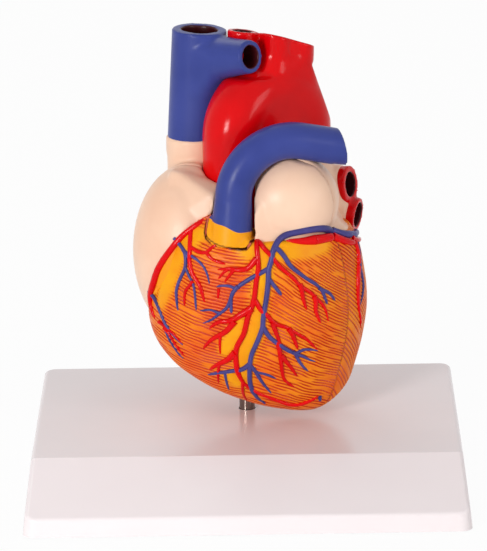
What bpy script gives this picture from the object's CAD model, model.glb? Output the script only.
import math

import bmesh
import bpy
from mathutils import Matrix, Vector, kdtree, noise
from mathutils.bvhtree import BVHTree


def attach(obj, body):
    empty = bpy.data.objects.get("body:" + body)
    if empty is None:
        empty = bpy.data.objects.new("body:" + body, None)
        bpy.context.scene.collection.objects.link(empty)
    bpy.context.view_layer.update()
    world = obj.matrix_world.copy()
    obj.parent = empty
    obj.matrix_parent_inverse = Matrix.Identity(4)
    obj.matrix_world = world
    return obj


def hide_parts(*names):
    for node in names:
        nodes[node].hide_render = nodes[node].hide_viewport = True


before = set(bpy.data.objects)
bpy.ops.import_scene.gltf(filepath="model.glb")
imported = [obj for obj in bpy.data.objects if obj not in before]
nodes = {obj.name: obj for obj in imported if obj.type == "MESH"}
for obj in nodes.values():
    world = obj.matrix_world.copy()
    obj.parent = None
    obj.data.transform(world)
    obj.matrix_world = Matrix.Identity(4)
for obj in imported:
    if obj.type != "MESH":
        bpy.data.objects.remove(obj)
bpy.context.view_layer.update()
scene = bpy.context.scene
MM = 0.001

# ---------------------------------------------------------------------------
# Camera, lamps and bench. The model stands on a plain white bench in a soft
# studio: one large lamp low on the left, a weaker one on the right, one behind.
# ---------------------------------------------------------------------------
scene.view_settings.view_transform = "Standard"

# the camera's place in metres, and how far it turns left, looks down and leans
CAMERA_PLACE = (0.01542, -2.02892, 0.69443)
yaw, pitch, roll = math.radians(-0.45), math.radians(16.183), math.radians(-1.03)
ahead = Vector((math.sin(yaw) * math.cos(pitch), math.cos(yaw) * math.cos(pitch),
                -math.sin(pitch)))
level = Vector((math.cos(yaw), -math.sin(yaw), 0))
above = level.cross(ahead)
to_right = level * math.cos(roll) + above * math.sin(roll)
to_top = above * math.cos(roll) - level * math.sin(roll)
camera = bpy.data.objects.new("camera", bpy.data.cameras.new("camera"))
scene.collection.objects.link(camera)
facing = Matrix((to_right, to_top, -ahead)).transposed().to_4x4()
camera.matrix_world = Matrix.Translation(CAMERA_PLACE) @ facing
camera.data.sensor_width = 36
camera.data.lens = 272.1
scene.camera = camera

# the place that the lamps face
AIM = Vector((0, 0, 0.12))


def soft_lamp(name, place, size, watts):
    """A square lamp that faces the middle of the heart."""
    lamp = bpy.data.objects.new(name, bpy.data.lights.new(name, "AREA"))
    lamp.data.size = size
    lamp.data.energy = watts
    scene.collection.objects.link(lamp)
    lamp.location = place
    lamp.rotation_euler = (AIM - lamp.location).to_track_quat("-Z", "Y").to_euler()


soft_lamp("key_lamp", (-0.78, -1.35, 0.48), 0.36, 14)
soft_lamp("side_lamp", (1.2, -0.8, 0.5), 0.5, 4)
soft_lamp("rear_lamp", (-0.5, 1.1, 1.4), 0.8, 4)


def new_material(name):
    """A node material: its nodes, its links and its Principled BSDF."""
    material = bpy.data.materials.new(name)
    material.use_nodes = True
    tree = material.node_tree
    return material, tree.nodes, tree.links, tree.nodes["Principled BSDF"]


def math_node(tree_nodes, tree_links, kind, *values):
    """A Math node fed with sockets or numbers, and its output."""
    node = tree_nodes.new("ShaderNodeMath")
    node.operation = kind
    for place, value in enumerate(values):
        if isinstance(value, (int, float)):
            node.inputs[place].default_value = value
        else:
            tree_links.new(value, node.inputs[place])
    return node.outputs[0]


studio = bpy.data.worlds.new("studio")
scene.world = studio
studio.use_nodes = True
air, air_links = studio.node_tree.nodes, studio.node_tree.links


def seen_share(tree_nodes, tree_links):
    """1 for the rays that show the background, plain or in gloss or glass, and 0 for the rest."""
    path = tree_nodes.new("ShaderNodeLightPath")
    straight = math_node(tree_nodes, tree_links, "MAXIMUM", path.outputs["Is Camera Ray"],
                         path.outputs["Is Transmission Ray"])
    return math_node(tree_nodes, tree_links, "MAXIMUM", straight, path.outputs["Is Glossy Ray"])


# the strength on the object; the background itself is seen at 1, a plain white
SHADE = 0.46
glow = math_node(air, air_links, "MULTIPLY_ADD", seen_share(air, air_links), 1 - SHADE, SHADE)
air["Background"].inputs["Color"].default_value = (1, 1, 1, 1)
air_links.new(glow, air["Background"].inputs["Strength"])

bm = bmesh.new()
bmesh.ops.create_grid(bm, x_segments=1, y_segments=1, size=6)
bench_mesh = bpy.data.meshes.new("bench")
bm.to_mesh(bench_mesh)
bm.free()
bench = bpy.data.objects.new("bench", bench_mesh)
scene.collection.objects.link(bench)
material, mn, ml, shader = new_material("bench_paint")
shader.inputs["Base Color"].default_value = (0.9, 0.9, 0.9, 1)
shader.inputs["Roughness"].default_value = 0.7
# how much of what is seen of the bench is plain white; the rest keeps the shadow
BENCH_WHITE = 0.94
white = mn.new("ShaderNodeEmission")
blend = mn.new("ShaderNodeMixShader")
ml.new(math_node(mn, ml, "MULTIPLY", seen_share(mn, ml), BENCH_WHITE), blend.inputs["Fac"])
ml.new(shader.outputs[0], blend.inputs[1])
ml.new(white.outputs[0], blend.inputs[2])
ml.new(blend.outputs[0], mn["Material Output"].inputs["Surface"])
bench_mesh.materials.append(material)

# ---------------------------------------------------------------------------
# Stand: one glossy white moulding with a sloping front, on rubber feet.
# Its skin has the faint waviness and haze of polished plastic.
# ---------------------------------------------------------------------------


def node_group(name, inputs, outputs):
    """An empty shader group with named sockets."""
    group = bpy.data.node_groups.new(name, "ShaderNodeTree")
    for socket, kind, value in inputs:
        made = group.interface.new_socket(socket, in_out="INPUT", socket_type=kind)
        if value is not None:
            made.default_value = value
    for socket, kind in outputs:
        group.interface.new_socket(socket, in_out="OUTPUT", socket_type=kind)
    return (group, group.nodes, group.links, group.nodes.new("NodeGroupInput"),
            group.nodes.new("NodeGroupOutput"))


def noise_of(tree_nodes, tree_links, scale, detail, vector):
    """A Noise texture on a vector, and its value."""
    cloud = tree_nodes.new("ShaderNodeTexNoise")
    cloud.inputs["Detail"].default_value = detail
    if isinstance(scale, (int, float)):
        cloud.inputs["Scale"].default_value = scale
    else:
        tree_links.new(scale, cloud.inputs["Scale"])
    tree_links.new(vector, cloud.inputs["Vector"])
    return cloud.outputs["Fac"]


def paint(red, green, blue):
    """A paint's colour, from the values on its tin to linear light."""
    def linear(c):
        c /= 255
        return c / 12.92 if c <= 0.04045 else ((c + 0.055) / 1.055) ** 2.4
    return linear(red), linear(green), linear(blue), 1


def mix_colour(tree_nodes, tree_links, factor, first, second):
    """A colour between two, by a factor; each is a paint or a socket."""
    mix = tree_nodes.new("ShaderNodeMix")
    mix.data_type = "RGBA"
    for socket, value in (("A", first), ("B", second)):
        if isinstance(value, tuple):
            mix.inputs[socket].default_value = value
        else:
            tree_links.new(value, mix.inputs[socket])
    tree_links.new(factor, mix.inputs["Factor"])
    return mix.outputs["Result"]


def ranged(tree_nodes, tree_links, value, low, high, to_low=0, to_high=1, kind="LINEAR"):
    """A value carried over from one range to another, and held inside it."""
    node = tree_nodes.new("ShaderNodeMapRange")
    node.interpolation_type = kind
    for socket, number in (("From Min", low), ("From Max", high), ("To Min", to_low),
                           ("To Max", to_high)):
        node.inputs[socket].default_value = number
    tree_links.new(value, node.inputs["Value"])
    return node.outputs["Result"]


def raised(tree_nodes, tree_links, height, strength, depth):
    """The normal of a surface with fine relief, this deep in metres where it's strongest."""
    bump = tree_nodes.new("ShaderNodeBump")
    bump.inputs["Distance"].default_value = depth
    if isinstance(strength, float):
        bump.inputs["Strength"].default_value = strength
    else:
        tree_links.new(strength, bump.inputs["Strength"])
    tree_links.new(height, bump.inputs["Height"])
    return bump.outputs["Normal"]


# brushed paint: broad drift of tone, brush marks and the fine grain of the coat
brush, bn, bl, b_in, b_out = node_group(
    "brushed_paint",
    [("Light", "NodeSocketColor", None), ("Deep", "NodeSocketColor", None),
     ("Patch", "NodeSocketFloat", 60.0), ("Relief", "NodeSocketFloat", 0.2)],
    [("Color", "NodeSocketColor"), ("Roughness", "NodeSocketFloat"),
     ("Normal", "NodeSocketVector")])
place = bn.new("ShaderNodeTexCoord").outputs["Object"]
drift = ranged(bn, bl, noise_of(bn, bl, b_in.outputs["Patch"], 3, place), 0.35, 0.7)
bl.new(mix_colour(bn, bl, drift, b_in.outputs["Light"], b_in.outputs["Deep"]),
       b_out.inputs["Color"])
streaks = bn.new("ShaderNodeMapping")
streaks.inputs["Scale"].default_value = (1, 1, 0.25)
bl.new(place, streaks.inputs["Vector"])
marks = noise_of(bn, bl, 900, 2, streaks.outputs["Vector"])
grain = noise_of(bn, bl, 2600, 1, place)
height = math_node(bn, bl, "MULTIPLY_ADD", grain, 0.35, marks)
bl.new(raised(bn, bl, height, b_in.outputs["Relief"], 0.2 * MM), b_out.inputs["Normal"])
bl.new(ranged(bn, bl, marks, 0, 1, 0.26, 0.42), b_out.inputs["Roughness"])


def kept_share(tree_nodes, name):
    """A share from 0 to 1 that is kept on the mesh's points."""
    kept = tree_nodes.new("ShaderNodeAttribute")
    kept.attribute_name = name
    return kept.outputs["Fac"]


def brushed(name, light, deep, patch, relief, level=0.4, haze=1.0):
    """A paint that was brushed on a casting."""
    material, mn, ml, shader = new_material(name)
    coatwork = mn.new("ShaderNodeGroup")
    coatwork.node_tree = brush
    coatwork.inputs["Light"].default_value = paint(*light)
    coatwork.inputs["Deep"].default_value = paint(*deep)
    coatwork.inputs["Patch"].default_value = patch
    coatwork.inputs["Relief"].default_value = relief
    ml.new(coatwork.outputs["Color"], shader.inputs["Base Color"])
    ml.new(math_node(mn, ml, "MULTIPLY", coatwork.outputs["Roughness"], haze),
           shader.inputs["Roughness"])
    ml.new(coatwork.outputs["Normal"], shader.inputs["Normal"])
    shader.inputs["Specular IOR Level"].default_value = level
    return material


def dress(node, material):
    """A CAD piece keeps its shape and takes a finish."""
    nodes[node].data.materials.clear()
    nodes[node].data.materials.append(material)


material, mn, ml, shader = new_material("white_plastic")
place = mn.new("ShaderNodeTexCoord").outputs["Object"]
waves = noise_of(mn, ml, 22, 2, place)
peel = noise_of(mn, ml, 700, 2, place)
height = math_node(mn, ml, "MULTIPLY_ADD", peel, 0.02, waves)
ml.new(raised(mn, ml, height, 0.15, 0.4 * MM), shader.inputs["Normal"])
haze = noise_of(mn, ml, 35, 5, place)
ml.new(ranged(mn, ml, haze, 0, 1, 0.16, 0.26), shader.inputs["Roughness"])
ml.new(mix_colour(mn, ml, waves, paint(244, 235, 236), paint(238, 227, 228)),
       shader.inputs["Base Color"])
shader.inputs["Specular IOR Level"].default_value = 0.35
dress("stand_base", material)

material, mn, ml, shader = new_material("rubber")
place = mn.new("ShaderNodeTexCoord").outputs["Object"]
scuff = noise_of(mn, ml, 300, 6, place)
ml.new(mix_colour(mn, ml, scuff, paint(38, 38, 40), paint(70, 70, 72)),
       shader.inputs["Base Color"])
shader.inputs["Roughness"].default_value = 0.75
dress("base_feet", material)

# ---------------------------------------------------------------------------
# Rod and its fixings: a dark chromed rod, ground round, in a nylon bush, with
# a plated washer and screw under the base.
# ---------------------------------------------------------------------------


def turned_metal(name, light, dark, rough, lines):
    """Metal with the fine rings that grinding leaves round it."""
    material, mn, ml, shader = new_material(name)
    place = mn.new("ShaderNodeTexCoord").outputs["Object"]
    rings = mn.new("ShaderNodeMapping")
    rings.inputs["Scale"].default_value = (0.02, 0.02, 1)
    ml.new(place, rings.inputs["Vector"])
    ring = noise_of(mn, ml, lines, 3, rings.outputs["Vector"])
    smear = noise_of(mn, ml, 60, 4, place)
    ml.new(mix_colour(mn, ml, smear, paint(*light), paint(*dark)), shader.inputs["Base Color"])
    shader.inputs["Metallic"].default_value = 1
    ml.new(ranged(mn, ml, ring, 0, 1, rough, rough * 2.2), shader.inputs["Roughness"])
    ml.new(raised(mn, ml, ring, 0.06, 0.1 * MM), shader.inputs["Normal"])
    return material


dress("stand_rod", turned_metal("dark_chrome", (140, 128, 120), (112, 100, 94), 0.1, 9000))
plated = turned_metal("plated_steel", (190, 190, 186), (150, 150, 148), 0.22, 5000)
dress("rod_washer", plated)
dress("rod_screw", plated)
dress("locating_pins", plated)
magnet = turned_metal("magnet_nickel", (205, 203, 198), (172, 170, 166), 0.15, 3000)
dress("rear_magnets", magnet)
dress("front_magnets", magnet)
dress("rod_bush", brushed("nylon", (226, 222, 210), (206, 200, 186), 120, 0.15))

# ---------------------------------------------------------------------------
# Ventricles: one hollow casting, parted by a flat cut so that its front wall
# lifts off. The outside is painted orange, with carved fibres and yellow fat.
# ---------------------------------------------------------------------------
# the heart's middle on the parting cut, the way the front wall comes off, the height
# of the flat top, and a distance from the middle that is clear of the heart all round
MIDDLE = Vector((0.006, 0.00984, 0.085))
OFF = Vector((-0.338738, -0.940881, 0))
TOP = 0.1272
FAR = 0.13
# how far the skin stands off the casting, a fibre's width in mm and its groove's depth
PROUD = 0.45 * MM
FIBRE = 1.75
GROOVE = 0.5 * MM


def out_from(around, up):
    """The way out of the heart at degrees round from the front and degrees up."""
    a, u = math.radians(around), math.radians(up)
    return Vector((math.sin(a) * math.cos(u), -math.cos(a) * math.cos(u), math.sin(u)))


def merged(names):
    """A bmesh of CAD pieces, with their loose triangles joined."""
    bm = bmesh.new()
    for name in names:
        bm.from_mesh(nodes[name].data)
    bmesh.ops.remove_doubles(bm, verts=bm.verts, dist=1e-6)
    return bm


def outside_tree(names):
    """A tree for rays onto CAD pieces."""
    bm = merged(names)
    tree = BVHTree.FromBMesh(bm)
    bm.free()
    return tree


ventricle_tree = outside_tree(["front_ventricle_wall", "rear_ventricles", "pulmonary_trunk"])
# the rod's axis on the bench, and how far round it the underside is open or rounded
ROD = Vector((0, 0.022, 0))
HOLE_LIP = 8 * MM
# the round groove under the right atrium, seen from the front: its middle and radius
GROOVE_MIDDLE, GROOVE_RADIUS = (0.0095, 0.087), 0.0587
# left of this x the front wall's top climbs by this much for each mm
CLIMB_FROM, CLIMB = 0.005, 0.591


def in_front(point):
    """Whether a point is on the front wall's side of the parting cut."""
    return (point - MIDDLE).dot(OFF) > 0


def reach_of_top(away):
    """How far it is from the middle to the ventricles' top or to the groove."""
    reach = 0.2
    if away.z > 0:
        reach = (TOP - MIDDLE.z) / away.z
        if away.dot(OFF) > 0 and MIDDLE.x + reach * away.x < CLIMB_FROM:
            reach = ((TOP - MIDDLE.z - CLIMB * (MIDDLE.x - CLIMB_FROM))
                     / max(1e-6, away.z + CLIMB * away.x))
    x, z = MIDDLE.x - GROOVE_MIDDLE[0], MIDDLE.z - GROOVE_MIDDLE[1]
    flat_way = away.x ** 2 + away.z ** 2
    if flat_way > 1e-9:
        half = (x * away.x + z * away.z) / flat_way
        rest = (x * x + z * z - GROOVE_RADIUS ** 2) / flat_way
        reach = min(reach, -half + math.sqrt(half * half - rest))
    return reach


def underside_at(x, y):
    """The height of the ventricles' underside over a place on the bench."""
    return ventricle_tree.ray_cast(Vector((x, y, 0)), Vector((0, 0, 1)))[0].z


# the underside's level and slope across the rod's hole, from four places on its lip
lips = [underside_at(ROD.x + x, ROD.y + y) for x, y in
        ((HOLE_LIP, 0), (-HOLE_LIP, 0), (0, HOLE_LIP), (0, -HOLE_LIP))]
HOLE_LEVEL = sum(lips) / 4
SLOPE_X, SLOPE_Y = (lips[0] - lips[1]) / 2 / HOLE_LIP, (lips[2] - lips[3]) / 2 / HOLE_LIP


def fell_in(away, hit):
    """Whether a ray from above ended in a hollow instead of on the outside."""
    flat_way = Vector((away.x, away.y, 0)).normalized()
    start = Vector((MIDDLE.x, MIDDLE.y, hit.z)) + flat_way * FAR
    side = ventricle_tree.ray_cast(start, -flat_way)[0]
    return side is None or (side - hit).length > 1.5 * MM


def reach_of(away):
    """How far it is from the middle to the outside, with every hollow closed."""
    hit = ventricle_tree.ray_cast(MIDDLE + away * FAR, -away)[0]
    reach = (hit - MIDDLE).length if hit else 0
    if away.z > 0.2:
        top = reach_of_top(away)
        if reach > top or hit is None or fell_in(away, hit):
            return top
    elif away.z < -0.5:
        # across the rod's hole the underside goes on level
        level = HOLE_LEVEL - MIDDLE.z + SLOPE_X * (MIDDLE.x - ROD.x) + SLOPE_Y * (MIDDLE.y - ROD.y)
        over_hole = level / (away.z - SLOPE_X * away.x - SLOPE_Y * away.y)
        spot = MIDDLE + away * over_hole
        if math.hypot(spot.x - ROD.x, spot.y - ROD.y) < HOLE_LIP:
            return over_hole
    return reach


def wrapped_ball(fineness, lift):
    """A ball drawn in from outside onto the ventricles, and lifted off them."""
    bm = bmesh.new()
    bmesh.ops.create_icosphere(bm, subdivisions=fineness, radius=1)
    for vert in bm.verts:
        away = vert.co.normalized()
        vert.co = MIDDLE + away * (reach_of(away) + lift)
    return bm


# the yellow fat: degrees round, degrees up, half width in mm
FAT = [
    # along the groove between the ventricles
    [(1.5, 60, 5), (4, 53, 5), (5.5, 47, 4.2), (5.5, 38, 4), (4, 30, 3.8), (2, 15, 3.6),
     (-1.5, 0, 3.6), (-6, -13, 4), (-11, -22, 4.2), (-13, -33, 4.4), (-12, -42, 3)],
    # inside of the right coronary artery
    [(-56, 53, 4), (-62, 44, 5), (-66, 36, 5.5), (-69, 27, 5.5), (-71.5, 18, 5), (-74, 9, 3)],
    # under the lung artery's root and beside it
    [(-12, 56, 5), (-5, 54, 6), (0, 58, 5)],
    # under the left auricle
    [(8, 58, 6), (20, 53, 6), (32, 51, 5.5), (45, 48, 5), (58, 45, 4)],
    # low panel beside the front groove
    [(-14, 6, 2.5), (-18, -3, 4), (-23, -12, 4), (-28, -19, 3)],
    [(-28, -44, 3.5), (-21, -49, 3.5)],
]


def smooth_line(corners, step):
    """Points along a smooth line through corners, about a step apart."""
    line = []
    ends = [corners[0]] + corners + [corners[-1]]
    for a, b, c, d in zip(ends, ends[1:], ends[2:], ends[3:]):
        count = max(1, round((c - b).length / step))
        for number in range(count):
            t = number / count
            line.append(0.5 * ((2 * b) + (c - a) * t + (2 * a - 5 * b + 4 * c - d) * t * t
                               + (3 * b - a - 3 * c + d) * t ** 3))
    return line + [corners[-1]]


def on_ventricles(around, up):
    """The place on the ventricles at degrees round from the front and degrees up."""
    away = out_from(around, up)
    return MIDDLE + away * reach_of(away)


fat_spots = []
for strip in FAT:
    corners = [on_ventricles(a, u) for a, u, w in strip]
    widths = [w for a, u, w in strip]
    fat_line = smooth_line(corners, 1.5 * MM)
    for number, spot in enumerate(fat_line):
        share = number / (len(fat_line) - 1) * (len(widths) - 1)
        low_end = min(int(share), len(widths) - 2)
        width = widths[low_end] + (widths[low_end + 1] - widths[low_end]) * (share - low_end)
        fat_spots.append((spot, width * MM))
fat_tree = kdtree.KDTree(len(fat_spots))
for number, (spot, width) in enumerate(fat_spots):
    fat_tree.insert(spot, number)
fat_tree.balance()


def soft_step(low, high, value):
    """A smooth climb from 0 at the low value to 1 at the high one."""
    t = min(1, max(0, (value - low) / (high - low)))
    return t * t * (3 - 2 * t)


def fat_at(point):
    """How much yellow fat lies on a point, from 0 to 1."""
    number, distance = fat_tree.find(point)[1:]
    width = fat_spots[number][1]
    wander = noise.noise(point * 160) * 1.3 * MM
    return 1 - soft_step(width - 1.8 * MM, width + 4 * MM, distance + wander)


def front_groove(z):
    """The x of the groove between the ventricles at a height, both in mm."""
    return 5.5 - 0.09 * (130 - z)


def flush_at(point):
    """How much redder the right ventricle is, left of the front groove."""
    x, z = point.x / MM, point.z / MM
    left = front_groove(z) - x
    if not in_front(point) or left < 0:
        return 0
    level = soft_step(62, 76, z) * (1 - soft_step(112, 120, z))
    return 0.65 * level * soft_step(0, 5, left) * (1 - soft_step(16, 34, left))


def fibre_at(point):
    """The number of the fibre that a point lies on, and the place along it in mm."""
    x, y, z = point.x / MM, point.y / MM, point.z / MM
    z += noise.noise(point * 75) * 0.9 + noise.noise(point * 190) * 0.35
    if not in_front(point):
        # behind the parting cut they fall towards the back
        return (z + 1.07 * (y - 10)) / 1.35 / FIBRE, x - y
    if x < (front_groove(z) if z > 60 else -0.8):
        # on the right ventricle they climb to the left, more so further out
        side = x - 5
        return (z + 0.05 * side - 0.0039 * side * side) / FIBRE, x
    # on the left ventricle they slant down to the right, less steeply lower down
    side, down = x - 28, 96 - z
    return (0.72 * side + 0.004 * side * side - 0.0055 * side * down - down) / FIBRE, x - z


def stroke_at(point):
    """The fibre's number at a point, and how deep the carver's stroke goes, from 0 to 1."""
    number, along = fibre_at(point)
    row = round(number)
    cut = soft_step(-0.5, -0.1, noise.noise(Vector((along * 0.085, row * 4.7, 0.5))))
    return number, cut


def groove(number):
    """The cut between two fibres: 1 along its bottom, 0 on a fibre's back."""
    return soft_step(0.1, 0.95, math.cos(2 * math.pi * number))


outer = wrapped_ball(8, PROUD)
# rubbed ten times, so that the steps over closed hollows round off
for _ in range(10):
    bmesh.ops.smooth_vert(outer, verts=outer.verts, factor=0.5, use_axis_x=True,
                          use_axis_y=True, use_axis_z=True)
for vert in outer.verts:
    number, cut = stroke_at(vert.co)
    fat = fat_at(vert.co)
    away = (vert.co - MIDDLE).normalized()
    lumps = noise.noise(vert.co * 70) * 0.25 * MM
    swell = 0.35 * MM * fat
    vert.co += away * (lumps + swell - GROOVE * groove(number) * cut * (1 - fat))


def as_object(name, bm):
    """A new object that holds a bmesh, not yet riding on anything."""
    mesh = bpy.data.meshes.new(name)
    bm.to_mesh(mesh)
    bm.free()
    piece = bpy.data.objects.new(name, mesh)
    scene.collection.objects.link(piece)
    return piece


def carve(piece, tool, operation):
    """A Boolean of two closed pieces, made real on the first."""
    modifier = piece.modifiers.new("carve", "BOOLEAN")
    modifier.operation = operation
    modifier.solver = "MANIFOLD"
    modifier.object = tool
    settle(piece)


def settle(piece):
    """The piece's modifiers made real."""
    bpy.context.view_layer.update()
    evaluated = piece.evaluated_get(bpy.context.evaluated_depsgraph_get())
    done = bpy.data.meshes.new_from_object(evaluated)
    old = piece.data
    piece.modifiers.clear()
    piece.data = done
    done.name = piece.name
    bpy.data.meshes.remove(old)


def scrap(*pieces):
    """Removes pieces that were only needed to make others."""
    for piece in pieces:
        bpy.data.objects.remove(piece)


def less(piece, *tools):
    """A piece after tools are cut out of it, which aren't needed again."""
    for tool in tools:
        carve(piece, tool, "DIFFERENCE")
    scrap(*tools)
    return piece


def kept_in(piece, room):
    """What of a piece lies in a room, which isn't needed again."""
    carve(piece, room, "INTERSECT")
    scrap(room)
    return piece


def half_room(side):
    """A large block on one side of the parting cut, just clear of it."""
    bm = bmesh.new()
    bmesh.ops.create_cube(bm, size=0.4)
    turn = OFF.to_track_quat("Y", "Z").to_matrix().to_4x4()
    shift = Matrix.Translation(MIDDLE + OFF * side * (0.2 + 0.22 * MM))
    bmesh.ops.transform(bm, matrix=shift @ turn, verts=bm.verts)
    return as_object("room", bm)


# how wide the rim is round the flat top
RIM = 5.5 * MM


def well():
    """The flat top inside the rim, where the atria and the vessels stand."""
    bm = bmesh.new()
    ring = bmesh.ops.create_circle(bm, segments=72, radius=1, cap_ends=True)["verts"]
    start = Vector((MIDDLE.x, MIDDLE.y, TOP - 4 * MM))
    for vert in ring:
        away = vert.co.normalized()
        hit = ventricle_tree.ray_cast(start + away * FAR, -away)[0]
        reach = (hit - start).length - RIM
        if away.dot(OFF) > 0 and away.x < 0.1:
            # on the front wall's climbing side nothing stands on it
            reach = 1 * MM
        vert.co = start + away * reach
    lid = bmesh.ops.extrude_face_region(bm, geom=list(bm.faces))["geom"]
    bmesh.ops.translate(bm, vec=(0, 0, 0.02),
                        verts=[g for g in lid if isinstance(g, bmesh.types.BMVert)])
    bmesh.ops.recalc_face_normals(bm, faces=bm.faces)
    return as_object("well", bm)


def round_bar(name, start, end, radius, end_radius=None):
    """A closed round bar, or a tapered one, from one point to another."""
    bm = bmesh.new()
    way = end - start
    bmesh.ops.create_cone(bm, cap_ends=True, segments=48, radius1=radius,
                          radius2=radius if end_radius is None else end_radius,
                          depth=way.length)
    turn = way.to_track_quat("Z", "Y").to_matrix().to_4x4()
    bmesh.ops.transform(bm, matrix=Matrix.Translation((start + end) / 2) @ turn,
                        verts=bm.verts)
    return as_object(name, bm)


# the way along the parting cut, level and to the right
ACROSS = Vector((0.940881, -0.338738, 0))
# the spreading root of the lung artery, seen square to the parting cut: mm right of
# the middle, and mm above the bench
ROOT = [(-13.8, 150), (-13.9, 141.5), (-15.8, 138.6), (-16.2, 136), (-16.2, 132), (-15.2, 129.6),
        (-13, 128.2), (-7, 127), (2.6, 125.4), (5.4, 125.6), (6.8, 127.4), (7, 132), (6.5, 150)]


def root_block(gap):
    """A prism with the root's outline, grown by a gap, along the way the wall comes off."""
    bm = bmesh.new()
    middle = Vector((sum(a for a, z in ROOT) / len(ROOT), sum(z for a, z in ROOT) / len(ROOT)))
    face = []
    for a, z in ROOT:
        out = (Vector((a, z)) - middle).normalized() * gap
        spot = MIDDLE + ACROSS * (a + out.x) * MM
        face.append(bm.verts.new((*spot.xy, (z + out.y) * MM)))
    lid = bmesh.ops.extrude_face_region(bm, geom=[bm.faces.new(face)])["geom"]
    bmesh.ops.translate(bm, vec=OFF * 0.09,
                        verts=[g for g in lid if isinstance(g, bmesh.types.BMVert)])
    bmesh.ops.recalc_face_normals(bm, faces=bm.faces)
    return as_object("root_block", bm)


def root_distance(point):
    """How far a point is from the root's outline, seen square to the parting cut, in mm."""
    spot = Vector(((point - MIDDLE).dot(ACROSS) / MM, point.z / MM))
    nearest = 1000
    for start, end in zip(ROOT, ROOT[1:]):
        start, end = Vector(start), Vector(end)
        along = min(1, max(0, (spot - start).dot(end - start) / (end - start).length_squared))
        nearest = min(nearest, (spot - start - (end - start) * along).length)
    return nearest


# the skin is a shell: it reaches 0.5 mm into the casting, and is open on top
core = as_object("core", wrapped_ball(6, -0.5 * MM))
skin = as_object("skin", outer)
root = bpy.data.objects.new("root", skin.data.copy())
scene.collection.objects.link(root)
root = kept_in(root, root_block(0))
# where the right ventricle opens into its atrium, and where the rod goes in
mouth = round_bar("mouth", Vector((-0.028, 0.02, 0.116)), Vector((-0.028, 0.02, 0.15)), 0.013)
rod_hole = round_bar("rod_hole", ROD, ROD + Vector((0, 0, 0.06)), 0.0048)
skin = less(skin, core, well(), mouth, rod_hole)
skins = {}
for name, side in (("front_skin", 1), ("rear_skin", -1)):
    half = bpy.data.objects.new(name, skin.data.copy())
    scene.collection.objects.link(half)
    skins[name] = kept_in(half, half_room(side))
skins["front_skin"] = less(skins["front_skin"], root_block(0.8))
scrap(skin)

# paint: the fibre's number, the stroke and the fat, kept on the mesh
material, mn, ml, shader = new_material("heart_muscle")
place = mn.new("ShaderNodeTexCoord").outputs["Object"]
kept = mn.new("ShaderNodeAttribute")
kept.attribute_name = "fibre"
split = mn.new("ShaderNodeSeparateXYZ")
ml.new(kept.outputs["Vector"], split.inputs[0])
number, cut, fat = split.outputs
turn = math_node(mn, ml, "MULTIPLY", number, 2 * math.pi)
# dark along a groove's bottom, and fading out on both its flanks
line = ranged(mn, ml, math_node(mn, ml, "COSINE", turn), -0.35, 0.65, kind="SMOOTHSTEP")
dark = math_node(mn, ml, "MULTIPLY", line, cut)
bare = math_node(mn, ml, "SUBTRACT", 1, math_node(mn, ml, "MULTIPLY", fat, fat))
dark = math_node(mn, ml, "MULTIPLY", dark, bare)
patch = ranged(mn, ml, noise_of(mn, ml, 55, 3, place), 0.35, 0.68)
muscle = mix_colour(mn, ml, patch, paint(240, 138, 22), paint(234, 108, 20))
muscle = mix_colour(mn, ml, kept_share(mn, "flush"), muscle, paint(222, 66, 18))
yellow = mix_colour(mn, ml, patch, paint(240, 168, 8), paint(236, 142, 12))
colour = mix_colour(mn, ml, fat, muscle, yellow)
colour = mix_colour(mn, ml, math_node(mn, ml, "MULTIPLY", dark, 0.9), colour,
                    paint(192, 28, 6))
colour = mix_colour(mn, ml, kept_share(mn, "seam"), colour, paint(70, 18, 8))
ml.new(colour, shader.inputs["Base Color"])
shader.inputs["Roughness"].default_value = 0.34
shader.inputs["Specular IOR Level"].default_value = 0.15
hair = math_node(mn, ml, "SINE", math_node(mn, ml, "MULTIPLY", turn, 3.0))
height = math_node(mn, ml, "MULTIPLY_ADD", hair, 0.12,
                   math_node(mn, ml, "MULTIPLY", dark, -1.0))
height = math_node(mn, ml, "MULTIPLY_ADD", noise_of(mn, ml, 1500, 2, place), 0.25, height)
ml.new(raised(mn, ml, height, 0.35, 0.3 * MM), shader.inputs["Normal"])


def keep(piece, name, value_at):
    """Keeps a value at each point of a mesh, for its paint to read."""
    kept = piece.data.attributes.new(name, "FLOAT", "POINT")
    for vert in piece.data.vertices:
        kept.data[vert.index].value = value_at(vert.co)


def dirt_at(point):
    """Dirt in the parting seam, and dark paint on the front wall round the root."""
    dirt = 0.3 - 0.3 * soft_step(0.3, 0.8, abs((point - MIDDLE).dot(OFF)) / MM)
    if point.z > 0.12 and in_front(point):
        dirt = max(dirt, 1 - soft_step(0.9, 1.5, root_distance(point)))
    return dirt


def finish_piece(piece, material, body, slot, *replaced):
    """A made piece's paint, the body that it rides on, its slot and what it stands for."""
    piece.data.materials.clear()
    piece.data.materials.append(material)
    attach(piece, body)
    if replaced:
        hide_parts(*replaced)


for name, body in (("front_skin", "front_wall"), ("rear_skin", "heart")):
    skin = skins[name]
    skin.data.shade_smooth()
    kept = skin.data.attributes.new("fibre", "FLOAT_VECTOR", "POINT")
    for vert in skin.data.vertices:
        number, cut = stroke_at(vert.co)
        kept.data[vert.index].vector = (number, cut, fat_at(vert.co))
    keep(skin, "flush", flush_at)
    keep(skin, "seam", dirt_at)
    finish_piece(skin, material, body, "heart_muscle")

# the cut faces and the hollows behind the skin
section = brushed("inner_muscle", (214, 92, 62), (186, 58, 44), 90, 0.5)
dress("front_ventricle_wall", section)
dress("rear_ventricles", section)

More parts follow.
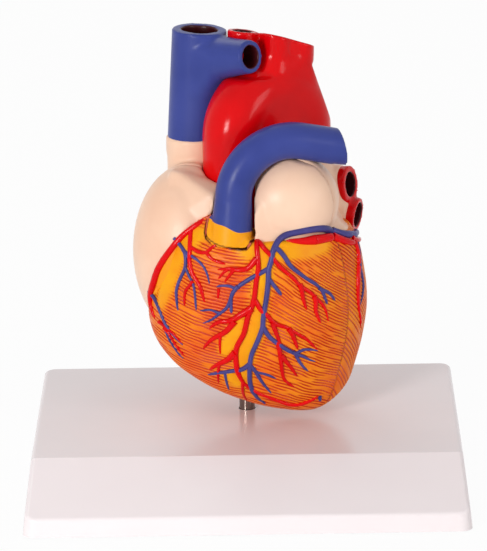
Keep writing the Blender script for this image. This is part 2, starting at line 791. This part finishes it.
# ---------------------------------------------------------------------------
# Atria and auricles: thin castings in a peach flesh tone. A rounded foot fills
# the step down to the ventricles' rim, and all is rubbed smooth.
# ---------------------------------------------------------------------------


def closed_loft(name, rings):
    """A closed solid through rings of points, in order."""
    bm = bmesh.new()
    rows = [[bm.verts.new(spot) for spot in ring] for ring in rings]
    for low, high in zip(rows, rows[1:]):
        for number in range(len(low)):
            after = (number + 1) % len(low)
            bm.faces.new((low[number], low[after], high[after], high[number]))
    bm.faces.new(rows[0])
    bm.faces.new(rows[-1])
    bmesh.ops.recalc_face_normals(bm, faces=bm.faces)
    return as_object(name, bm)


def rim_foot(name, first, last, steps):
    """The foot on the flat top, between two places round it in degrees: each step is
    mm over the top and mm in from the rim."""
    rings = []
    for rise, inward in steps:
        ring = [Vector((MIDDLE.x, MIDDLE.y, TOP + rise * MM))]
        for number in range(41):
            around = first + (last - first) * number / 40
            away = out_from(around, 0)
            start = Vector((MIDDLE.x, MIDDLE.y, TOP - 2 * MM))
            hit = ventricle_tree.ray_cast(start + away * FAR, -away)[0]
            spot = start + away * ((hit - start).length - inward * MM)
            ring.append(Vector((spot.x, spot.y, TOP + rise * MM)))
        rings.append(ring)
    return closed_loft(name, rings)


def side_foot(name, first, last, steps):
    """The foot along the groove beside the right atrium, between two places round the
    groove's circle: each step is mm over the groove and mm behind the front."""
    rings = []
    for number in range(25):
        turn = math.radians(first + (last - first) * number / 24)
        ring = []
        for rise, behind in steps:
            x = GROOVE_MIDDLE[0] + (GROOVE_RADIUS - 2 * MM) * math.cos(turn)
            z = GROOVE_MIDDLE[1] + (GROOVE_RADIUS - 2 * MM) * math.sin(turn)
            front = ventricle_tree.ray_cast(Vector((x, -0.12, z)), Vector((0, 1, 0)))[0].y
            reach = GROOVE_RADIUS + rise * MM
            x = GROOVE_MIDDLE[0] + reach * math.cos(turn)
            z = GROOVE_MIDDLE[1] + reach * math.sin(turn)
            back = MIDDLE.y - (x - MIDDLE.x) * OFF.x / OFF.y
            y = back if behind is None else front + behind * MM
            ring.append(Vector((x, min(y, back), z)))
        rings.append(ring)
    return closed_loft(name, rings)


def egg(name, centre, halves):
    """A rounded body, from its centre and half sizes in mm."""
    bm = bmesh.new()
    bmesh.ops.create_icosphere(bm, subdivisions=5, radius=MM)
    bmesh.ops.scale(bm, vec=halves, verts=bm.verts)
    bmesh.ops.translate(bm, vec=Vector(centre) * MM, verts=bm.verts)
    return as_object(name, bm)


def hull_of(name, *rings):
    """A block stretched over rings: each a centre in mm, the way it faces and a radius."""
    bm = bmesh.new()
    for centre, way, radius in rings:
        ring = bmesh.ops.create_circle(bm, segments=40, radius=radius * MM)["verts"]
        turn = Vector(way).to_track_quat("Z", "Y").to_matrix().to_4x4()
        bmesh.ops.transform(bm, matrix=Matrix.Translation(Vector(centre) * MM) @ turn,
                            verts=ring)
    over = bmesh.ops.convex_hull(bm, input=bm.verts)
    inside = [g for g in over["geom_interior"] if isinstance(g, bmesh.types.BMVert)]
    bmesh.ops.delete(bm, geom=inside, context="VERTS")
    bmesh.ops.recalc_face_normals(bm, faces=bm.faces)
    return as_object(name, bm)


def bored(piece, *bores):
    """A piece with bores cut through it: each a start, an end and a radius in mm."""
    return less(piece, *(round_bar("bore", Vector(start) * MM, Vector(end) * MM, radius * MM)
                         for start, end, radius in bores))


# each bore of the great vessels in mm: its start, its mouth and its radius
BORES = {
    "superior_vena_cava": [((-24.4, 42, 170), (-21, 42, 225), 9.2),
                           ((-17, 37.6, 210), (5.6, 18, 215.1), 5.7)],
    "inferior_vena_cava": [((-26.1, 44, 95), (-26.1, 58.3, 66.4), 8)],
    "aorta": [((0.9, 36.6, 187), (0.9, 37, 228), 4.8), ((16, 36.5, 194.3), (17.6, 35.5, 230), 4),
              ((22.7, 45.2, 189.8), (30.4, 42.4, 226), 4), ((29.5, 51, 172), (29.5, 51, 149), 11)],
    "pulmonary_trunk": [((38, 3.8, 173.1), (54, 8.6, 168.6), 6.3)],
    "right_pulmonary_artery": [((15.9, 41, 169), (-30.6, 68.3, 171), 5.5)],
    "left_pulmonary_veins": [((37.9, 43.1, 141), (55.4, 35.4, 143.2), 6.1),
                             ((36, 43.9, 129.9), (58.9, 36.3, 126.6), 6.1)],
    "right_pulmonary_veins": [((-8, 52, 143.9), (-31.2, 69.4, 145), 5.1),
                              ((-8, 52, 128), (-29.3, 67.2, 126.1), 5.1)],
}


def rubbed(name, sources, voxel, rounds, fillers=()):
    """Castings and fillers joined into one skin and rubbed smooth."""
    bm = merged(sources)
    for filler in fillers:
        bm.from_mesh(filler.data)
    scrap(*fillers)
    piece = as_object(name, bm)
    remesh = piece.modifiers.new("remesh", "REMESH")
    remesh.mode = "VOXEL"
    remesh.voxel_size = voxel * MM
    rub = piece.modifiers.new("rub", "SMOOTH")
    rub.factor = 0.5
    rub.iterations = rounds
    settle(piece)
    piece.data.shade_smooth()
    return piece


def aorta_room():
    """The room that the aorta's root takes up in front of the parting cut."""
    return round_bar("aorta_room", Vector((-0.0045, 0.022, 0.1)), Vector((-0.0045, 0.022, 0.18)),
                     0.0165)


# the feet, between two places round the rim or round the groove, in degrees
FOOT_STEPS = [(-4, 3.2), (0.6, 3.2), (3, 4.5), (8, 7), (15, 14)]
SIDE_STEPS = [(-4, 3), (0.6, 3), (3, 4.5), (6, 8), (8, 13), (8, None), (-4, None)]
left_foot = less(kept_in(rim_foot("left_foot", -9, 72, FOOT_STEPS), half_room(1)),
                 root_block(0.9))
rear_foot = kept_in(rim_foot("rear_foot", 66, 176, FOOT_STEPS), half_room(-1))
right_foot = less(side_foot("right_foot", 112, 152, SIDE_STEPS), root_block(0.9), aorta_room())
# the left atrium's bulge behind its auricle
rear_bulge = kept_in(egg("rear_bulge", (23.5, 6, 143), (25, 21.5, 24.5)), half_room(-1))
UP = (0, 0, 1)


def trunk_room():
    """The room of the lung artery and of its way out of the front wall."""
    return hull_of("trunk_room", ((-4.8, -9, 118), UP, 9.45), ((8.7, 28.6, 118), UP, 9.45),
                   ((-4.8, -9, 172), UP, 9.45), ((8.7, 28.6, 172), UP, 9.45))


# the right auricle's shoulder, between the aorta and the lung artery
shoulder = hull_of("shoulder", ((-33, 14, 158), UP, 4), ((-20, 8.5, 151.5), UP, 5),
                   ((-15, 6, 152), UP, 4), ((-30, 11, 136), UP, 13), ((-18, 6, 134), UP, 8.5),
                   ((-15.5, 0, 149.5), UP, 4.5), ((-16.5, -0.5, 139), UP, 5.5))
shoulder = less(kept_in(shoulder, half_room(1)), aorta_room(), root_block(0.7), trunk_room())
# the left auricle's cheek, close against the lung artery
cheek = hull_of("cheek", ((14, -4, 126), UP, 10), ((6, -12.6, 126.5), UP, 3),
                ((6.4, -11.8, 141), UP, 2.6), ((15, -3, 152), UP, 8))
cheek = less(cheek, root_block(0.9), trunk_room())
# the left atrium closes round the lung veins almost up to their mouths
UPPER_VEIN, LOWER_VEIN = (0.915, -0.39, 0.11), (0.94, -0.32, -0.13)
collar = hull_of("collar", ((36, 43.5, 141), UPPER_VEIN, 11.5),
                 ((51.4, 37, 142.6), UPPER_VEIN, 10.2), ((36, 43.9, 130), LOWER_VEIN, 11.5),
                 ((55, 37.6, 127.2), LOWER_VEIN, 9.8))
# and it stands out a little over the rim beside the left auricle
shelf = kept_in(hull_of("shelf", ((42, 3, 126), UP, 4.5), ((49.5, 6.8, 126), UP, 4.5),
                        ((50.5, 20, 125), UP, 4.5), ((40, 12, 134), UP, 5)), half_room(-1))
# the right atrium's neck, and its heel where the upper great vein opens into it
neck = bored(hull_of("neck", ((-24.8, 42, 160), UP, 14.6), ((-24.5, 42, 169.2), UP, 14.8)),
             ((-24.9, 42, 158), (-24, 42, 176), 9.2))
heel = bored(hull_of("heel", ((-24.7, 46, 143), UP, 9.8), ((-25.5, 43.5, 127), UP, 7.5)),
             ((-25, 37.5, 122), (-24.6, 42, 148), 9))


def overpaint(material, name, low, high, colour):
    """Another colour where a value that is kept on the mesh is high."""
    mn, ml = material.node_tree.nodes, material.node_tree.links
    base = mn["Principled BSDF"].inputs["Base Color"]
    share = ranged(mn, ml, kept_share(mn, name), low, high)
    ml.new(mix_colour(mn, ml, share, base.links[0].from_socket, paint(*colour)), base)


# inside the right coronary artery the foot is painted yellow like the fat beside it;
# the artery's course in degrees up and degrees round
EDGE = [(8, -85.5), (12.5, -82), (18, -78.5), (24.5, -75.5), (31.5, -72), (38.5, -69),
        (44, -67), (49.5, -65), (55.5, -60.5), (62, -56.5), (90, -50)]


def inside_edge(point):
    """How many degrees a point is on the ventricle's side of the artery."""
    away = point - MIDDLE
    around = math.degrees(math.atan2(away.x, -away.y))
    up = math.degrees(math.atan2(away.z, math.hypot(away.x, away.y)))
    for (low, first), (high, last) in zip(EDGE, EDGE[1:]):
        if low <= up < high and away.z / MM < 48:
            return around - first - (last - first) * (up - low) / (high - low)
    # far outside it
    return -9


peach = brushed("atrium_skin", (242, 205, 178), (236, 192, 164), 30, 0.12, 0.25)
overpaint(peach, "fat_rim", 0, 1, (240, 150, 12))
peach_pieces = []
for name, source, body, rounds, fillers in (
        ("right_atrium_cast", "right_atrium", "heart", 16, [neck, heel]),
        ("left_atrium_cast", "left_atrium", "heart", 12, [rear_foot, rear_bulge, collar, shelf]),
        ("right_auricle_cast", "right_auricle", "front_wall", 20, [right_foot, shoulder]),
        ("left_auricle_cast", "left_auricle", "front_wall", 12, [left_foot, cheek])):
    piece = rubbed(name, [source], 0.8, rounds, fillers)
    if name == "left_atrium_cast":
        # its holes round the lung veins are 7 mm in radius, wider than the veins' own bores
        bored(piece, *((start, mouth, 7)
                       for start, mouth, radius in BORES["left_pulmonary_veins"]))
        piece.data.shade_smooth()
    if name == "right_auricle_cast":
        keep(piece, "fat_rim", inside_edge)
    finish_piece(piece, peach, body, "atrium_skin", source)
    peach_pieces.append(piece)

# ---------------------------------------------------------------------------
# Great vessels: hollow castings in glossy red and blue, dark inside. The blue
# lung artery spreads into a yellow root that is let into the front wall.
# ---------------------------------------------------------------------------


def keep_bores(piece, bores):
    """Keeps on the mesh whether a point is inside a bore."""
    kept = piece.data.attributes.new("inside", "FLOAT", "POINT")
    for vert in piece.data.vertices:
        for start, mouth, radius in bores:
            start, mouth = Vector(start), Vector(mouth)
            run = mouth - start
            along = (vert.co / MM - start).dot(run) / run.length_squared
            if 0 < along < 1.03:
                aside = (vert.co / MM - start - run * along).length
                kept.data[vert.index].value = max(kept.data[vert.index].value,
                                                  radius + 0.9 - aside)


def below_edge(point):
    """How many mm a point is below the yellow's edge on the root, which slants down by
    0.34 for each mm to the right and is brushed in waves in front."""
    x, y, z = point / MM
    wave = 0.5 * math.sin(0.5 * x) if y < 0 else 0
    return 135.4 - 0.34 * (x + 6.7) + wave - z


# the aorta's arch: OVER is the way it runs at its top. A web fills it in underneath,
# a flare leads up to the stumps, and its right side is cut flat along FLANK
OVER = (0.761, 0.649, 0)
FLANK = (0.945, 0.091, 0.313)
# the stumps from right to left of the body; the last two end in one slanting face
SLANT = (0.221, 0.272, 0.935)
first_stump = (((0.9, 36.6, 190), UP, 8), ((0.9, 36.8, 206), UP, 7.9),
               ((0.9, 37, 224.4), (0.12, 0.1, 1), 7.8))
second_stump = (((16.5, 36, 196), UP, 9), ((17.4, 35.8, 208), UP, 8.4),
                ((17.9, 35.8, 221.6), SLANT, 8.1))
third_stump = (((27, 45, 196), UP, 9), ((28.6, 43.6, 206), UP, 8.4),
               ((29.4, 42.6, 216.5), SLANT, 8.1))
stumps = (first_stump, second_stump, third_stump)
arch = less(as_object("arch", merged(["aorta"])),
            hull_of("above", ((15, 40, 203), UP, 60), ((15, 40, 240), UP, 60)))
flare = hull_of("flare", ((17.5, 36, 214), UP, 8), ((29, 43.2, 210), UP, 8),
                ((12.5, 37, 194), UP, 14.8), ((27, 48.3, 188), UP, 13.6))
web = hull_of("web", ((-4, 22.5, 166), UP, 15.4), ((29, 50.5, 166), UP, 15.4),
              ((12.5, 36.5, 194), OVER, 15.7), ((2, 27.5, 189.5), OVER, 15.6),
              ((23, 45.5, 189.5), OVER, 15.4))
arch = rubbed("arch", [], 0.8, 34,
              [arch, flare, web] + [hull_of("stump", *stump) for stump in stumps])
arch = less(arch, hull_of("flank", ((40.2, 47.9, 190.5), FLANK, 60),
                          ((59.1, 49.7, 196.8), FLANK, 60)))
open_end = hull_of("open_end", ((29.5, 51, 150), UP, 15.9), ((29.5, 51, 160), UP, 15.9))
# the last two stumps stand in one block, 1 mm inside them
block = hull_of("block", *((centre, way, radius - 1)
                           for centre, way, radius in second_stump[1:] + third_stump[1:]))
aorta_parts = [bored(part, *BORES["aorta"]) for part in
               [arch, open_end, block] + [hull_of("stump", *stump[1:]) for stump in stumps]]

# webs where the side branch leaves the upper great vein
BRANCH_WAY = (0.744, -0.647, 0.165)
cava_fillers = [
    hull_of("upper_web", ((-21.3, 42, 218), UP, 13.4), ((-23, 42, 187), UP, 13.2),
            ((-9.5, 31.2, 211.8), BRANCH_WAY, 11)),
    hull_of("branch_web", ((-9.5, 31.2, 211.8), BRANCH_WAY, 11),
            ((2.3, 20.9, 214.4), BRANCH_WAY, 8.6))]

# thick lips on the left lung veins, and a plug that closes each bore a little way in
vein_lips = [bored(lip, *BORES["left_pulmonary_veins"]) for lip in (
    hull_of("lip", ((47.6, 38.6, 141.4), UPPER_VEIN, 8.8), ((55, 35.4, 142.6), UPPER_VEIN, 9.6)),
    hull_of("lip", ((51.6, 38.7, 127), LOWER_VEIN, 8), ((58.7, 36.3, 126), LOWER_VEIN, 8.8)))]
plugs = [hull_of("plug", (inner, way, 6.8), (outer, way, 6.8)) for inner, outer, way in (
    ((45.8, 39.6, 142), (48.4, 38.5, 142.3), UPPER_VEIN),
    ((50.6, 39.1, 127.8), (54.5, 37.8, 127.2), LOWER_VEIN))]

# the lung artery widens towards its root, and its cut end turns up a little
trunk_flare = hull_of("trunk_flare", ((-6.8, -10, 126), UP, 10.9), ((-4.8, -9, 149), UP, 9.35))
trunk_tip = bored(hull_of("trunk_tip", ((43, 5.3, 171.9), (0.93, 0.28, -0.24), 9.3),
                          ((50.1, 7.3, 170.4), (0.95, 0.27, 0.155), 9.6)),
                  *BORES["pulmonary_trunk"])
# and its root, 0.8% larger about the heart's middle, stands just proud of the front wall
root.data.transform(Matrix.Translation(MIDDLE) @ Matrix.Scale(1.008, 4)
                    @ Matrix.Translation(-MIDDLE))

# the paints, with dark bores; yellow and a dark seam are only on the root
BORE = (62, 14, 18)
red = brushed("artery_red", (222, 4, 10), (208, 2, 8), 40, 0.1, 0.14, 0.45)
blue = brushed("vein_blue", (57, 69, 142), (48, 60, 130), 40, 0.12, 0.2)
root_paint = brushed("root_paint", (57, 69, 142), (48, 60, 130), 40, 0.12, 0.2)
small_blue = brushed("small_vein_blue", (74, 70, 136), (58, 56, 116), 90, 0.12, 0.2)
overpaint(root_paint, "below_edge", -0.12, 0.12, (240, 158, 8))
overpaint(root_paint, "seam", 0, 1, (70, 18, 8))
for material in (red, blue, root_paint):
    overpaint(material, "inside", 0.15, 0.65, BORE)

# voxel is the grain in mm that a casting is remade with, rounds how often it is rubbed
for name, source, material, slot, voxel, rounds, fillers in (
        ("aorta_cast", "aorta", red, "artery_red", 0.7, 6, aorta_parts),
        ("upper_cava_cast", "superior_vena_cava", blue, "vein_blue", 0.7, 5, cava_fillers),
        ("lower_cava_cast", "inferior_vena_cava", blue, "vein_blue", 0.7, 5, []),
        ("lung_trunk_cast", "pulmonary_trunk", root_paint, "vein_blue", 0.6, 5,
         [root, trunk_flare, trunk_tip]),
        ("right_lung_artery_cast", "right_pulmonary_artery", blue, "vein_blue", 0.7, 5, []),
        ("left_lung_veins_cast", "left_pulmonary_veins", red, "artery_red", 0.7, 5,
         vein_lips + plugs),
        ("right_lung_veins_cast", "right_pulmonary_veins", red, "artery_red", 0.7, 5, [])):
    if name == "upper_cava_cast":
        # a first rubbing rounds the webs in, and the casting then keeps its crisp rims
        fillers = [bored(rubbed("soft", [source], voxel, 30, fillers), *BORES[source])]
    piece = rubbed(name, [] if name == "aorta_cast" else [source], voxel, rounds, fillers)
    keep_bores(piece, BORES[source])
    if name == "lung_trunk_cast":
        keep(piece, "below_edge", below_edge)
        keep(piece, "seam", lambda point: 1 - soft_step(0.1, 0.5, root_distance(point)))
    finish_piece(piece, material, "heart", slot, source)

# ---------------------------------------------------------------------------
# Coronary vessels: relief on the casting, picked out in red and blue. Places
# are degrees round from the front and degrees up from the heart's middle, or mm.
# ---------------------------------------------------------------------------
# each run: its radius in mm at the start and at the end, then its places
ARTERIES = [
    # right coronary artery, under the right auricle's edge
    (1.4, 2.0, [(-16.4, -5.6, 137.4), (-23.4, -7.1, 134.5), (-29.1, -6.3, 130.2),
                (-33.2, -6.9, 126.3), (-36.8, -6.7, 121.5), (-41, -5.3, 115.4),
                (-44.3, -3.1, 108.6), (-46, -0.8, 102.1), (-47.7, 2.4, 96.9),
                (-48.4, 5.2, 92.9)]),
    (1.9, 1.0, [(-46, -0.8, 102.1), (-47.7, 2.4, 96.9), (-48.4, 5.2, 92.9), (-48, 5.6, 89.6),
                (-46, 1.7, 83.3)]),
    # its branches on the right ventricle
    (1.3, 1.0, [(-62.5, 52), (-59.5, 48.5), (-56, 42.5), (-55.5, 39), (-52.5, 33.5),
                (-49, 30.5), (-45.5, 27), (-42, 18)]),
    (1.1, 0.7, [(-56.5, 45), (-49, 45), (-43.5, 46.5), (-40.5, 49), (-33, 52), (-27, 52.5)]),
    (1.0, 0.7, [(-44.5, 46.5), (-39, 44.5), (-33, 44), (-27, 44)]),
    (1.0, 0.7, [(-51, 29), (-54, 25), (-56.5, 20.5), (-56.5, 12)]),
    # left front artery and its tail
    (1.3, 1.5, [(1.5, 60.5), (1, 53.5), (2, 47.5), (2, 43), (0, 36), (-1.5, 26.5), (-2, 24.5),
                (-4, 18), (-7.5, 9.5), (-11, -4.5), (-17, -15.5), (-19, -23), (-19.5, -33.5),
                (-19, -40), (-16, -47.5), (-11.5, -53)]),
    (1.0, 0.6, [(-16, -47.5), (-20, -59.5), (-21.5, -70)]),
    # its branches to the right ventricle
    (1.7, 0.7, [(0.5, 48.5), (-5.5, 44.5), (-10, 43), (-17, 42), (-24, 42), (-33, 40)]),
    (1.0, 0.5, [(-19.5, 42), (-21.5, 40), (-24.5, 37), (-27, 34)]),
    (0.9, 0.5, [(-25, 41.5), (-29, 38.5), (-32, 35)]),
    (2.1, 0.8, [(-4, 17), (-12.5, 12), (-21, 6.5), (-32, 4), (-38.5, -1.5)]),
    (1.8, 0.7, [(-18, 6), (-25.5, -3), (-33, -7.5), (-39.5, -12), (-45.5, -18.5)]),
    (1.0, 0.5, [(-29, -5), (-30.5, -8.5), (-32, -22.5)]),
    (2.0, 0.7, [(-19, -21), (-27, -28), (-37, -32), (-46, -36)]),
    (1.0, 0.5, [(-34, -31), (-36, -33), (-44.5, -49)]),
    (0.9, 0.5, [(-31.5, 29), (-32, 22)]),
    # its branches to the left ventricle
    (1.3, 0.8, [(1.5, 60.5), (7, 54), (12.5, 50.5), (16.5, 47), (24, 41), (31.5, 34.5),
                (37.5, 28), (43, 23.5), (48.5, 16.5), (53, 10), (55.5, 0.5)]),
    (1.5, 0.7, [(36, 30), (37, 27), (38, 19), (40, 11.5)]),
    (1.5, 0.7, [(46, 20), (47, 15.5), (46.5, 9.5), (50, 0)]),
    (1.4, 0.7, [(-1.5, 23.5), (3.5, 15.5), (8.5, 11), (15.5, 3), (24.5, -0.5), (35.5, -8),
                (40.5, -11.5), (49, -19.5)]),
    (1.5, 0.7, [(13, 5), (14.5, -0.5), (20.5, -17)]),
    (1.6, 0.7, [(26, -1.5), (29, -6.5), (34, -19)]),
    (1.4, 0.7, [(17, -13), (19, -19.5), (22, -34.5), (26, -44), (36.5, -48)]),
    (1.4, 0.6, [(21, -24), (23.5, -27.5), (31, -35), (37, -40.5)]),
    (0.9, 1.1, [(-15, -49), (-6, -55), (6, -59), (24, -61), (43, -61), (53.5, -55), (59, -50)]),
    # right border
    (1.0, 0.6, [(-77, -3), (-72, -4.5), (-65.5, -8.5), (-61, -14.5)]),
    (1.0, 0.6, [(-73, -6), (-69.5, -8.5), (-66, -17), (-62.5, -24.5)]),
    # round the left side, under the auricle
    (2.6, 0.8, [(35.6, -12.4, 127.2), (32, -14.2, 127.2), (27.3, -15.6, 127.4),
                (21.3, -15.7, 128)]),
    (2.6, 2.1, [(35.6, -12.4, 127.2), (39.9, -10, 126.9), (43.2, -6.8, 126.8),
                (45, -5.2, 126.4)]),
]
REAR_ARTERIES = [
    (2.1, 1.6, [(44.8, -5.2, 126.6), (50.1, -2.2, 123.9), (53.7, 1.6, 121.8), (55.6, 6, 120)]),
    (1.5, 1.2, [(84, 38), (92, 34), (108, 30.5), (125, 28.5), (140, 29)]),
    (1.3, 1.6, [(86, 36), (86, 30), (83.5, 24.5)]),
    (1.6, 0.6, [(83.5, 24.5), (79.5, 15.5), (79, 4), (84, -10)]),
    (1.0, 0.6, [(108, 30.5), (112, 20), (115, 5), (112, -14), (105, -30)]),
    (1.6, 1.5, [(-108, -12), (-118, -16), (-132, -17), (-146, -14), (-158, -6), (-168, 5),
                (-176, 17)]),
    (1.4, 0.7, [(-176, 17), (-179, 10), (176, 0), (170, -16), (160, -32), (143, -47),
                (115, -58)]),
    (0.9, 0.4, [(-179, 10), (-168, 0), (-158, -12), (-152, -26)]),
    (0.9, 0.4, [(174, -6), (160, -12), (146, -22)]),
    (1.0, 0.4, [(-134, -17), (-132, -24), (-127, -34), (-120, -44)]),
]
VEINS = [
    # great vein, along the front groove and round the left side
    (2.1, 1.5, [(43.4, -3.2, 129.2), (40.6, -7.3, 131.6), (34.9, -11.9, 132.4),
                (28.9, -13.5, 131.8), (23.8, -13.8, 131), (18.3, -14.6, 129.4),
                (16.2, -18.7, 126.7), (14.1, -20.3, 123), (13.6, -21.3, 119.1)]),
    (1.4, 1.2, [(15.5, 51), (14, 47), (11, 42.5), (10.5, 37.5), (9.5, 31),
                (8, 23), (6, 13.5), (5, 6), (4.5, 0.5), (0, -12), (-5, -23), (-7, -31.5),
                (-8, -40), (-8.5, -49), (-6.5, -56.5), (-0.5, -63), (10.5, -68)]),
    (1.3, 0.9, [(17, 53.5), (21, 51.5), (25, 48), (30, 42), (36, 37), (43, 31), (48.5, 26.5),
                (52, 22)]),
    (1.1, 0.6, [(50, 24), (52, 22), (56.5, 19), (60.5, 13)]),
    (1.1, 0.6, [(50, 24), (52, 22), (53, 18.5), (55, 12)]),
    (1.1, 0.9, [(10, 38.5), (13, 35), (17, 30.5), (21, 25.5)]),
    (1.2, 1.1, [(11, 43), (4.5, 41), (-3.5, 38.5), (-11.5, 35), (-17.5, 31)]),
    (1.0, 0.5, [(-15, 32), (-17.5, 31), (-23.5, 32), (-28.5, 31.5), (-33.5, 30)]),
    (1.2, 0.5, [(-16, 32.5), (-20, 28), (-22, 22.5), (-25, 16), (-31.5, 10), (-37.5, 5),
                (-43.5, 2)]),
    (1.0, 0.8, [(-21.5, 23), (-21.5, 20), (-21, 12.5)]),
    (0.8, 0.5, [(-29, 11.5), (-31.5, 11.5), (-37.5, 13), (-45, 11)]),
    (1.4, 0.7, [(-7.5, -32), (-15, -36.5), (-27, -38), (-37.5, -39), (-50, -40.5)]),
    (0.9, 0.5, [(-29, -38), (-31.5, -38.5), (-33.5, -47), (-38, -57)]),
    (1.2, 0.5, [(-7.5, -33), (-4.5, -36), (-1, -40), (10, -41.5), (18, -44)]),
    (1.1, 0.5, [(-2, -39), (0, -42.5), (5.5, -49), (15, -56)]),
    (1.3, 1.1, [(4.5, 2.5), (9.5, -7), (17, -14), (25, -19.5), (32.5, -23)]),
    (1.0, 0.5, [(30, -22), (32.5, -23), (38.5, -19.5), (44, -19.5), (49.5, -20.5)]),
    (1.0, 0.5, [(30, -22), (32.5, -23), (39.5, -25), (44.5, -27.5), (49.5, -28.5)]),
    (1.1, 0.5, [(30, -21.5), (32.5, -23), (36, -28.5), (40.5, -33), (45.5, -36)]),
    # veins of the right ventricle
    (0.9, 1.1, [(-35.2, -6.1, 127.6), (-31.7, -8.2, 124), (-29.2, -11.3, 121.2),
                (-27.8, -12.6, 118.5)]),
    (1.0, 0.8, [(-62, 42), (-60, 41.5), (-58, 38), (-58, 33.5), (-60.5, 27.5), (-62.5, 21.5),
                (-62.5, 15.5), (-61, 8)]),
    (0.8, 0.6, [(-58, 35), (-54.5, 31), (-51, 27.5), (-49, 20.5), (-48, 11)]),
    (0.9, 0.5, [(-62, 42), (-57, 41.5), (-50, 41), (-44.5, 39), (-41, 35.5), (-39, 30.5)]),
    (1.1, 0.7, [(-48.8, 3.6, 97.1), (-45.2, -0.1, 93.4), (-43.2, -3.3, 89), (-41.7, -4.8, 84.7),
                (-39.2, -7.1, 80.6), (-36.2, -8.8, 77.3), (-31.7, -11.5, 72.8)]),
    (1.0, 0.8, [(61, -49.5), (63.5, -52)]),
    (0.8, 0.5, [(-72, -6), (-71, -11.5), (-68.5, -19), (-65.5, -26.5)]),
]
REAR_VEINS = [
    (2.0, 1.9, [(44.2, -1.6, 128.8), (48.6, -1, 127.2), (52.2, 2.4, 125.6), (54.4, 6.5, 124.2)]),
    (1.6, 2.2, [(82, 41), (88, 38.5), (95, 36.5), (110, 33.5), (126, 32), (142, 32.5),
                (158, 34)]),
    (2.2, 2.6, [(158, 34), (172, 33), (-174, 31), (-162, 29)]),
    (1.1, 0.7, [(89, 38), (89, 30), (86, 22.5), (86, 14), (81, 4)]),
    (1.3, 0.8, [(168, 33), (170, 20), (166, 5), (158, -12), (147, -28), (130, -42)]),
    (1.1, 0.6, [(128, 32), (130, 22), (134, 8), (134, -8), (128, -24)]),
    (1.0, 0.5, [(-150, 20), (-146, 6), (-142, -10), (-134, -26)]),
]


def surface_of(pieces):
    """A tree for rays and nearest places on a few pieces."""
    bm = bmesh.new()
    for piece in pieces:
        bm.from_mesh(piece.data)
    tree = BVHTree.FromBMesh(bm)
    bm.free()
    return tree


surface_tree = surface_of([*skins.values(), *peach_pieces])
skin_tree = surface_of(skins.values())


def lay(point, tree):
    """A point dropped onto the heart's outside."""
    away = (point - MIDDLE).normalized()
    top = reach_of_top(away)
    hit = tree.ray_cast(MIDDLE + away * FAR, -away)[0]
    # a ray that misses or falls in takes the nearest place, at most 60 mm out
    if hit is None or (hit - MIDDLE).length < min(top, reach_of(away)) - 3 * MM:
        hit = tree.find_nearest(MIDDLE + away * min(top, 0.06))[0]
    return hit


# between two points of a vessel; and from this share of its length on it thins out,
# losing this share of its radius by its end
SPACING = 0.9 * MM
TAPER_FROM = 0.86
TAPER_BY = 0.55


def vessels(name, runs, material, body, slot, tree):
    """Tapering ridges along the heart's surface, in one mesh."""
    curve = bpy.data.curves.new(name, "CURVE")
    curve.dimensions = "3D"
    curve.bevel_depth = MM
    curve.bevel_resolution = 3
    curve.use_fill_caps = True
    for first, last, places in runs:
        in_mm = len(places[0]) == 3
        if in_mm:
            line = smooth_line([Vector(place) * MM for place in places], SPACING)
            points = [surface_tree.find_nearest(spot)[0] for spot in line]
        else:
            corners = [lay(MIDDLE + out_from(around, up) * 0.05, tree) for around, up in places]
            points = [lay(spot, tree) for spot in smooth_line(corners, SPACING)]
        # places in mm cross from one casting to the next, so they need more smoothing
        for _ in range(18 if in_mm else 2):
            points = [points[0]] + [(a + b * 2 + c) / 4 for a, b, c in
                                    zip(points, points[1:], points[2:])] + [points[-1]]
        spline = curve.splines.new("POLY")
        spline.points.add(len(points) - 1)
        for number, (point, spot) in enumerate(zip(points, spline.points)):
            share = number / (len(points) - 1)
            radius = first + (last - first) * share
            if share > TAPER_FROM:
                radius *= 1 - TAPER_BY * (share - TAPER_FROM) / (1 - TAPER_FROM)
            # the ridge's middle lies just outside the surface, so it is more than half proud
            away = (point - MIDDLE).normalized()
            spot.co = (*(point + away * radius * 0.15 * MM), 1)
            spot.radius = radius
    ridge = bpy.data.objects.new(name, curve)
    scene.collection.objects.link(ridge)
    bpy.context.view_layer.update()
    evaluated = ridge.evaluated_get(bpy.context.evaluated_depsgraph_get())
    mesh = bpy.data.meshes.new_from_object(evaluated)
    bpy.data.objects.remove(ridge)
    piece = bpy.data.objects.new(name, mesh)
    scene.collection.objects.link(piece)
    mesh.shade_smooth()
    finish_piece(piece, material, body, slot)


vessels("front_arteries", ARTERIES, red, "front_wall", "artery_red", skin_tree)
vessels("front_veins", VEINS, small_blue, "front_wall", "vein_blue", surface_tree)
vessels("rear_arteries", REAR_ARTERIES, red, "heart", "artery_red", skin_tree)
vessels("rear_veins", REAR_VEINS, small_blue, "heart", "vein_blue", skin_tree)

# ---------------------------------------------------------------------------
# Inside the chambers: two thin cream valves, the muscles on the walls and the
# cords between them, all glued into the rear half; and the plated tube for the rod.
# ---------------------------------------------------------------------------
cream = brushed("valve_cream", (244, 226, 196), (230, 204, 168), 150, 0.3)
for name in ("mitral_valve", "tricuspid_valve", "tendinous_cords"):
    dress(name, cream)
for name in ("left_papillary_muscles", "right_papillary_muscles"):
    dress(name, section)
dress("rod_socket", plated)
